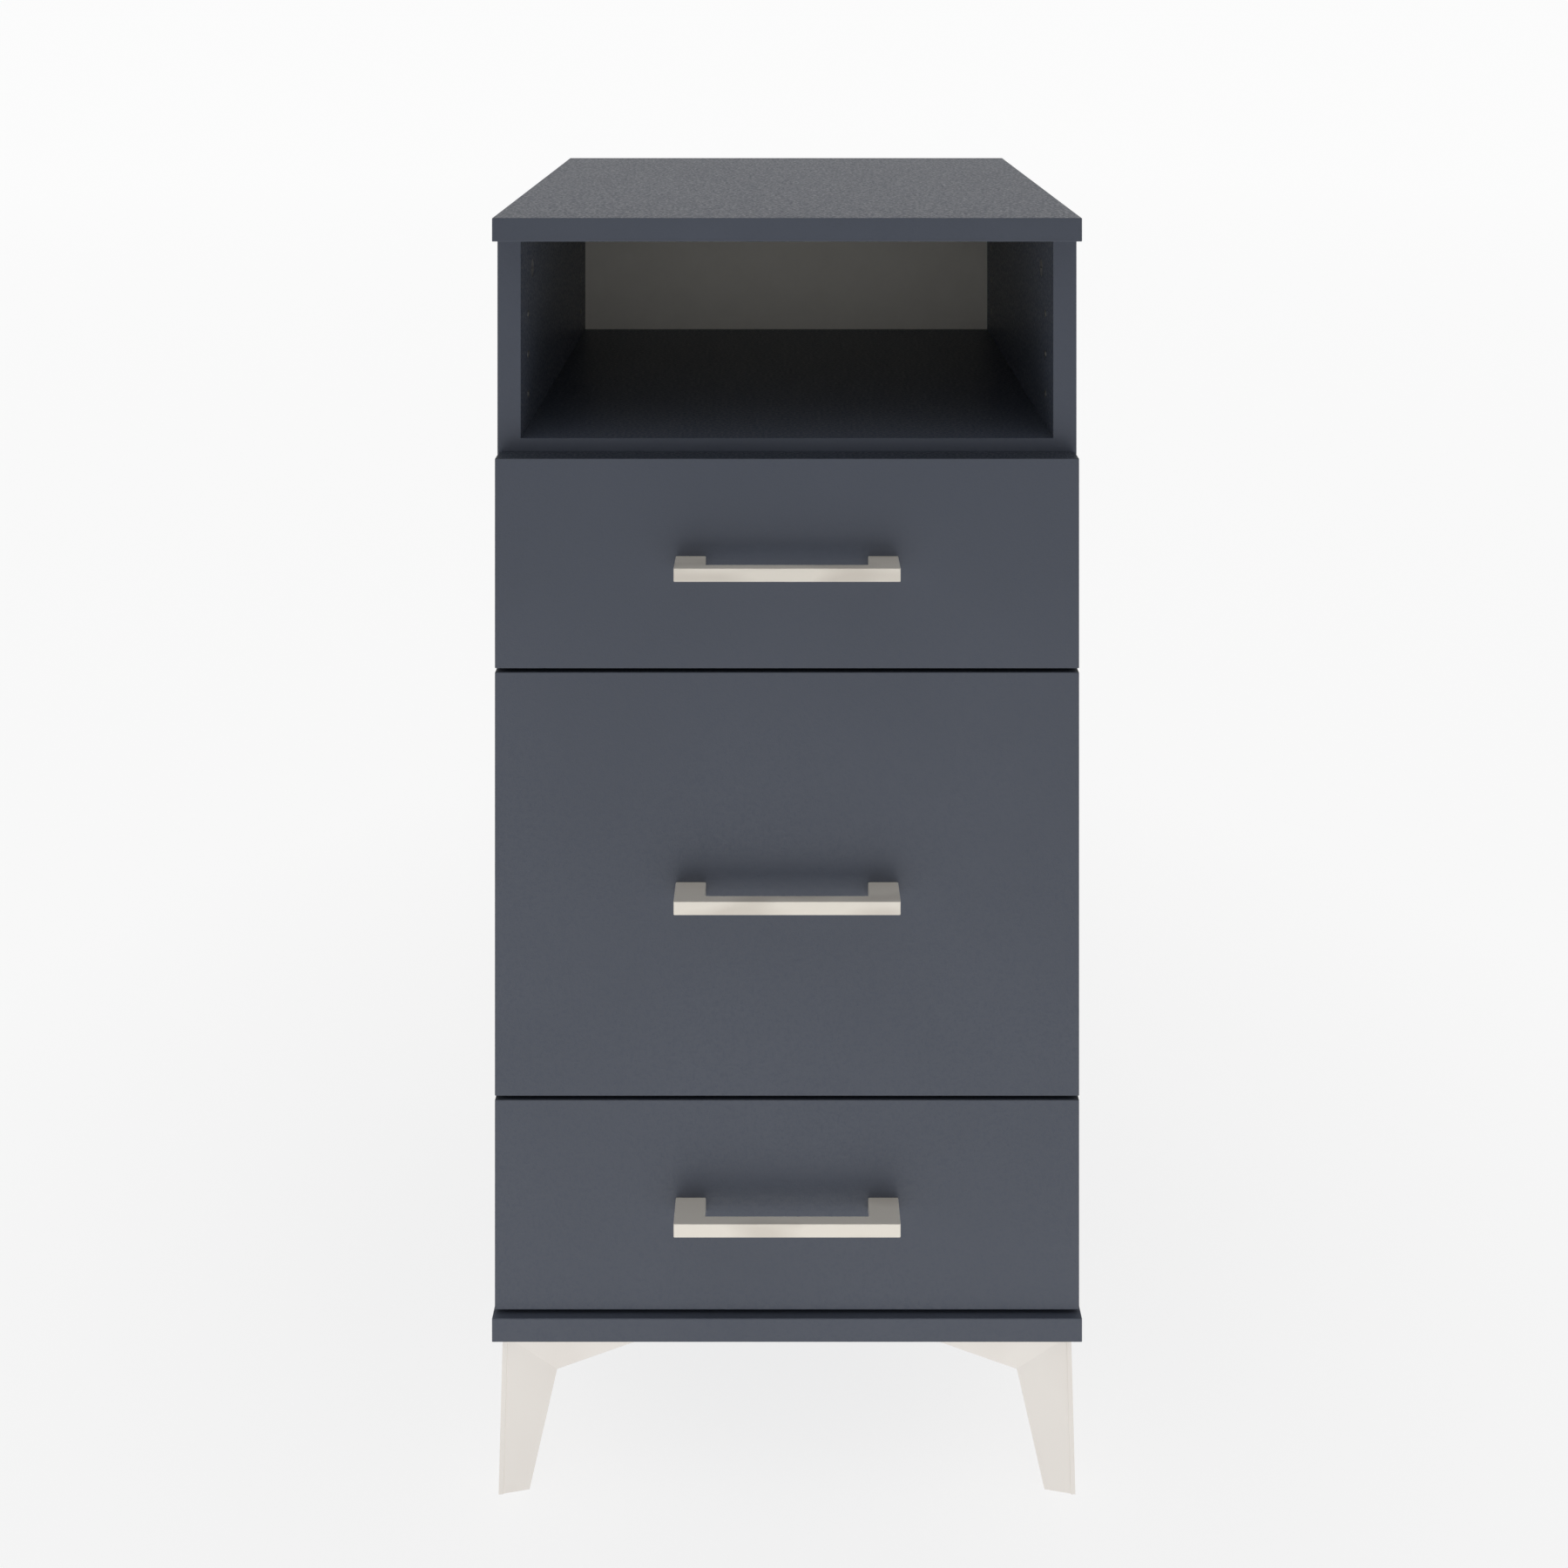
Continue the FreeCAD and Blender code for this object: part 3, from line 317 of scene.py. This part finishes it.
def dress_nodes():
    """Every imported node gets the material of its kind."""
    for name in ("top_panel", "base_panel", "left_side_panel", "right_side_panel", "niche_shelf"):
        dress(name, slate_board(name))
    for drawer in DRAWERS:
        dress(f"{drawer}_drawer_front", slate_board(f"{drawer}_drawer_front", "XZ"))
        for part in ("left_side", "right_side", "back"):
            dress(f"{drawer}_drawer_{part}", white_board(f"{drawer}_drawer_{part}"))

    hardboard = white_hardboard("white_hardboard")
    dress("back_panel", hardboard)
    handle_metal = satin_nickel("handle_nickel_painted_reflection", HANDLE_NICKEL_AND_REFLECTION, metallic=0.25,
                                grain=(0.04, 1, 1), tone_and_reflection_stretch=(0.3, 1, 1))
    screw_metal = zinc("zinc_screws", EVEN)
    cam_metal = zinc("zinc_cams", EVEN, CAM_TONES)
    rail_metal = zinc("zinc_rails", grain=(1, 0.08, 1))
    leg_metal = satin_nickel("leg_nickel", LEG_NICKEL, metallic=0.35,
                             grain=(1, 1, 0.04), tone_and_reflection_stretch=(0.4, 0.4, 0.2))
    for corner in ("front_left", "front_right", "rear_left", "rear_right"):
        dress(f"{corner}_leg", leg_metal)
    for name in ("leg_screws", "cam_bolts", "cabinet_rail_screws"):
        dress(name, screw_metal)
    dress("cam_locks", cam_metal)
    dress("dowels", beech("beech_dowels"))
    for drawer in DRAWERS:
        dress(f"{drawer}_drawer_bottom", hardboard)
        dress(f"{drawer}_handle", handle_metal)
        dress(f"{drawer}_drawer_connectors", cam_metal)
        for part in ("handle_screws", "drawer_screws"):
            dress(f"{drawer}_{part}", screw_metal)
        for hand in HANDS:
            for member in ("cabinet", "middle", "drawer"):
                dress(f"{drawer}_{hand}_{member}_rail", rail_metal)


# --- pieces --------------------------------------------------------------------------------------

# Millimetres.  Half a sleeve's section is given as radius, and height above the board's face.
SLEEVE_SECTION = ((2.1, 0.4), (2.9, 0.4), (3.1, 0.2), (3.1, 0.0), (2.45, 0.0), (2.45, -9.0),
                  (2.1, -9.0))
SLEEVE_SIDES = 24
PIN_ROWS = (37, 371)         # behind the side panels' front edge
PIN_DROPS = (67, 99, 131)    # below the top panel


def add_pin_sleeves():
    """Dull metal sleeves in the shelf-pin holes of the niche's walls."""
    mesh = bmesh.new()
    for hand, into_niche in (("left", 1), ("right", -1)):
        low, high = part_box(f"{hand}_side_panel")
        face = high.x if into_niche > 0 else low.x
        for row in PIN_ROWS:
            for drop in PIN_DROPS:
                centre = Vector((face, low.y + row * MM, high.z - drop * MM))
                add_ring(mesh, centre, into_niche)
    bmesh.ops.recalc_face_normals(mesh, faces=mesh.faces)
    data = bpy.data.meshes.new("shelf_pin_sleeves")
    mesh.to_mesh(data)
    mesh.free()
    sleeves = bpy.data.objects.new("shelf_pin_sleeves", data)
    bpy.context.scene.collection.objects.link(sleeves)
    data.materials.append(zinc("dull_sleeves", EVEN, SLEEVE_TONES))
    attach(sleeves, "cabinet")


def add_ring(mesh, centre, outward):
    """The sleeve's section turned about the X axis through centre, closed on itself."""
    loops = []
    for radius, height in SLEEVE_SECTION:
        loop = []
        for step in range(SLEEVE_SIDES):
            angle = math.tau * step / SLEEVE_SIDES
            offset = Vector((height * outward, radius * math.cos(angle), radius * math.sin(angle)))
            loop.append(mesh.verts.new(centre + offset * MM))
        loops.append(loop)
    for loop, after in zip(loops, loops[1:] + loops[:1]):
        for step in range(SLEEVE_SIDES):
            then = (step + 1) % SLEEVE_SIDES
            mesh.faces.new((loop[step], loop[then], after[then], after[step]))


# --- studio --------------------------------------------------------------------------------------

# Brightness of the air by the height of a direction (the sine of its elevation), before and behind.
AIR_PEAK = 1.25
AIR_FRONT = ((0.0, 1.13), (0.26, 0.02), (0.64, 0.35), (0.94, 1.10), (1.0, 1.10))
AIR_BACK = ((0.0, 0.95), (0.64, 0.335), (1.0, 0.335))
AIR_TURN = ((-0.3, 0.0), (0.3, 1.0))   # from before to behind, by a direction's Y
BACKDROP_GLOW = 0.97         # what the camera sees in place of the air

# Brightness of the floor by Y as the object sees it, and by distance as the camera sees it, darker near the
# middle as painted shade under the object.
FLOOR_REACH = 80.0           # from the middle to each edge
FLOOR_PAINT = 0.20           # the share of light that the floor sends back, besides its glow
FLOOR_GLOW = ((-3.0, 0.30), (-2.6, 0.30), (-2.0, 0.96), (-1.1, 0.96), (-0.8, 0.97), (-0.45, 0.97),
              (-0.27, 0.83), (0.0, 0.83))
# The camera's floor is darker within reach of the object: painted shade under it.
FLOOR_SEEN_WITH_PAINTED_SHADE = ((0.0, 0.80), (0.35, 0.80), (1.0, 0.84), (9.0, 0.87))


def ramp(tree, value, stops, peak=1.0):
    """A number that follows value through the stops, as a share of peak."""
    first, last = stops[0][0], stops[-1][0]
    share = tree.nodes.new("ShaderNodeMapRange")
    share.inputs["From Min"].default_value = first
    share.inputs["From Max"].default_value = last
    tree.links.new(value, share.inputs["Value"])
    node = tree.nodes.new("ShaderNodeValToRGB")
    tree.links.new(share.outputs[0], node.inputs["Fac"])
    elements = node.color_ramp.elements
    while len(elements) < len(stops):
        elements.new(0.5)
    for index, (at, level) in enumerate(stops):
        elements[index].position = (at - first) / (last - first)
        elements[index].color = (level / peak, level / peak, level / peak, 1)
    return node.outputs["Color"]


def blend(tree, share, first, second):
    """A number that goes from first to second as share goes from 0 to 1, by a mix node's numbers A and B."""
    node = tree.nodes.new("ShaderNodeMix")
    tree.links.new(share, node.inputs[0])
    for index, value in ((2, first), (3, second)):
        if isinstance(value, bpy.types.NodeSocket):
            tree.links.new(value, node.inputs[index])
        else:
            node.inputs[index].default_value = value
    return node.outputs[0]


def add_world():
    """White studio air that lights the object, and an even backdrop that only the camera sees.

    Before the object the air is bright at the horizon and overhead, with a dark band between them.
    Behind it the air is bright at the horizon and dim above.
    """
    world = bpy.data.worlds.new("studio")
    world.use_nodes = True
    tree = world.node_tree
    tree.nodes.clear()
    place = tree.nodes.new("ShaderNodeTexCoord")
    split = tree.nodes.new("ShaderNodeSeparateXYZ")
    tree.links.new(place.outputs["Generated"], split.inputs[0])
    behind = ramp(tree, split.outputs["Y"], AIR_TURN)
    front = ramp(tree, split.outputs["Z"], AIR_FRONT, AIR_PEAK)
    back = ramp(tree, split.outputs["Z"], AIR_BACK, AIR_PEAK)
    path = tree.nodes.new("ShaderNodeLightPath")
    air = blend(tree, behind, front, back)
    shown = blend(tree, path.outputs["Is Camera Ray"], air, BACKDROP_GLOW / AIR_PEAK)
    light = tree.nodes.new("ShaderNodeBackground")
    light.inputs["Strength"].default_value = AIR_PEAK
    tree.links.new(shown, light.inputs["Color"])
    output = tree.nodes.new("ShaderNodeOutputWorld")
    tree.links.new(light.outputs[0], output.inputs["Surface"])
    bpy.context.scene.world = world


def add_floor():
    """A wide pale floor that is lit from within, so that the object stands on white.

    The glow that lights the object varies along Y; the camera sees another one, nearly even but darker near
    the middle, a painted shade under the object.
    """
    corners = [(x * FLOOR_REACH, y * FLOOR_REACH, 0) for x, y in ((-1, -1), (1, -1), (1, 1), (-1, 1))]
    mesh = bpy.data.meshes.new("floor")
    mesh.from_pydata(corners, [], [(0, 1, 2, 3)])
    floor = bpy.data.objects.new("floor", mesh)
    bpy.context.scene.collection.objects.link(floor)

    shader = Shader("floor_white")
    tree = shader.tree
    split = shader.node("ShaderNodeSeparateXYZ")
    shader.feed(split, 0, shader.place)
    lighting = ramp(tree, split.outputs["Y"], FLOOR_GLOW)
    distance = shader.node("ShaderNodeVectorMath", operation="LENGTH")
    shader.feed(distance, 0, shader.place)
    # Painted shade: what the camera sees of the floor darkens towards the object.
    shown = ramp(tree, distance.outputs["Value"], FLOOR_SEEN_WITH_PAINTED_SHADE)
    path = shader.node("ShaderNodeLightPath")
    glow = shader.node("ShaderNodeEmission")
    shader.feed(glow, "Strength", blend(tree, path.outputs["Is Camera Ray"], lighting, shown))
    paint = shader.node("ShaderNodeBsdfDiffuse")
    paint.inputs["Color"].default_value = (FLOOR_PAINT, FLOOR_PAINT, FLOOR_PAINT, 1)
    both = shader.node("ShaderNodeAddShader")
    tree.links.new(glow.outputs[0], both.inputs[0])
    tree.links.new(paint.outputs[0], both.inputs[1])
    tree.links.new(both.outputs[0], shader.output.inputs["Surface"])
    mesh.materials.append(shader.material)


def set_colour_view():
    """Colours are shown as they are, with no film curve."""
    settings = bpy.context.scene.view_settings
    settings.view_transform = "Standard"
    settings.look = "None"
    settings.exposure = 0
    settings.gamma = 1


# --- the scene -----------------------------------------------------------------------------------

add_camera()
set_colour_view()
add_world()
add_floor()
dress_nodes()
add_pin_sleeves()
